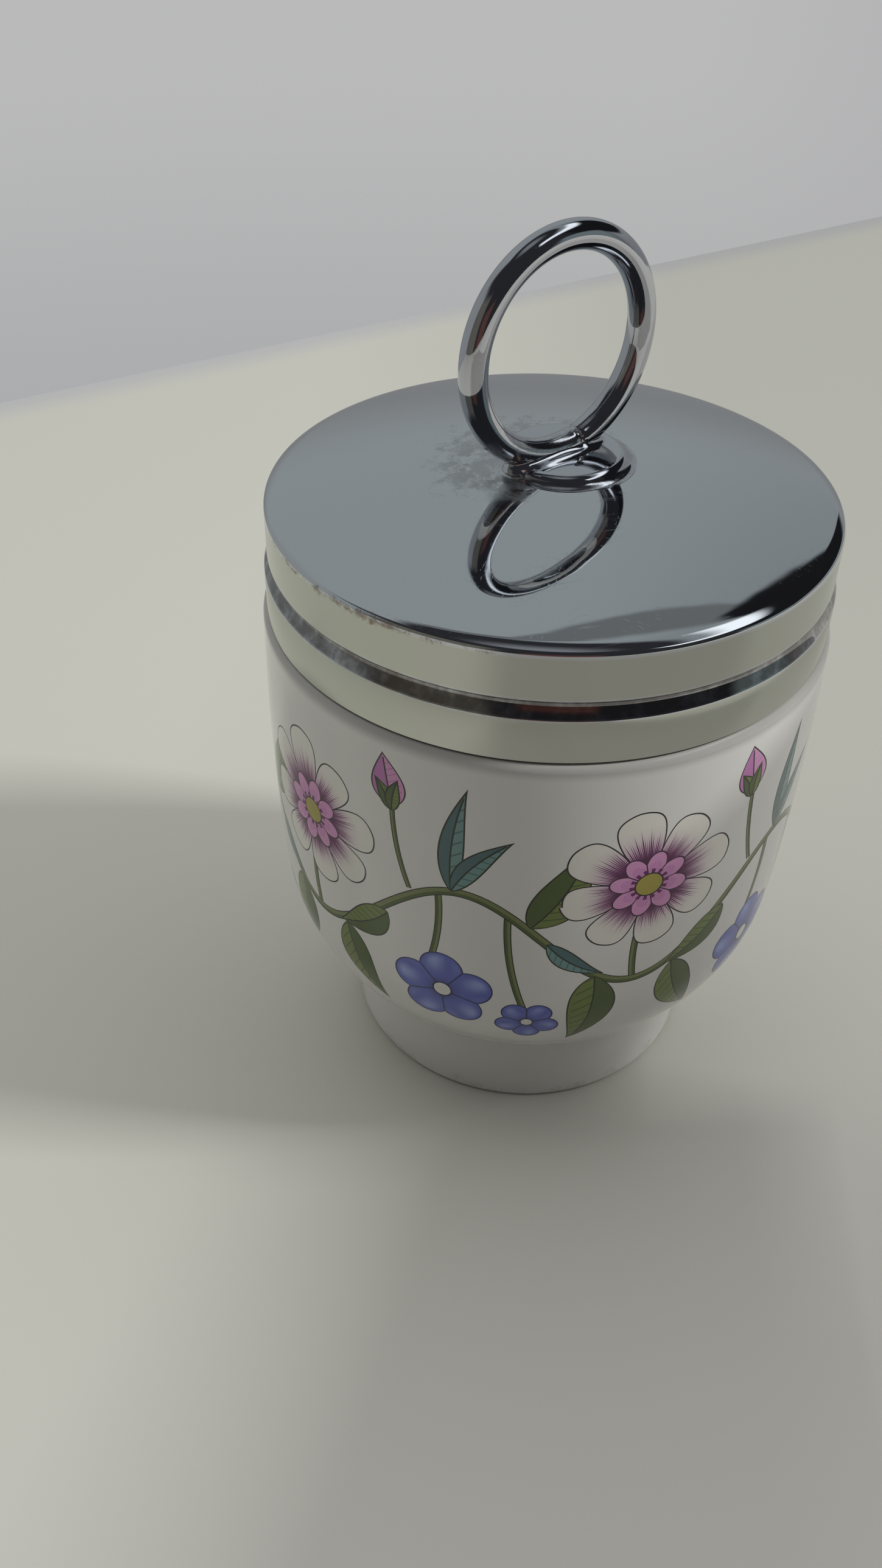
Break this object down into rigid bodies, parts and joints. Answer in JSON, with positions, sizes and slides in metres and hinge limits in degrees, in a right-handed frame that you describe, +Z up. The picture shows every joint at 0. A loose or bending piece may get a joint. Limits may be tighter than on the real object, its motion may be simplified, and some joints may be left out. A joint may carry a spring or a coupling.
{
  "type": "egg coddler",
  "caption": "Round footed porcelain cup with a flower decoration and a domed screw-on metal lid carrying a soldered upright finger ring",
  "frame": {"origin": "centre of the foot's resting plane, on the cup's axis", "axes": "+X to the right along the finger ring's plane, +Y to the back, +Z up; the front of the finger ring faces -Y"},
  "size_m": [0.0664, 0.0664, 0.1076],
  "materials": {
    "glazed_porcelain": "glossy white glaze over porcelain with a fired-on flower decoration",
    "lid_chrome": "chromed pressed sheet, worn and slightly tarnished, satin on the skirt",
    "liner_metal": "plain pressed metal sheet, dull",
    "seal_rubber": "dark matte rubber",
    "handle_chrome": "polished chrome, lightly worn",
    "solder_metal": "chromed solder, slightly rough"
  },
  "bodies": {
    "cup": {"porcelain_cup": "glazed_porcelain"},
    "seal": {"sealing_ring": "seal_rubber"},
    "lid": {"lid_cover": "lid_chrome", "thread_liner": "liner_metal", "ring_base": "handle_chrome", "lift_ring": "handle_chrome", "solder_seam": "solder_metal"}
  },
  "joints": [
    {"name": "lid_rise", "type": "slide", "parent": "cup", "child": "seal", "axis": [0, 0, 1], "range_m": [0, 0.0045]},
    {"name": "lid_unscrew", "type": "hinge", "parent": "seal", "child": "lid", "pos_m": [0, 0, 0.07], "axis": [0, 0, 1], "range_deg": [0, 400]}
  ],
  "couplings": [
    {"joint": "lid_rise", "follows": "lid_unscrew", "m_per_rad": 0.00063662}
  ]
}
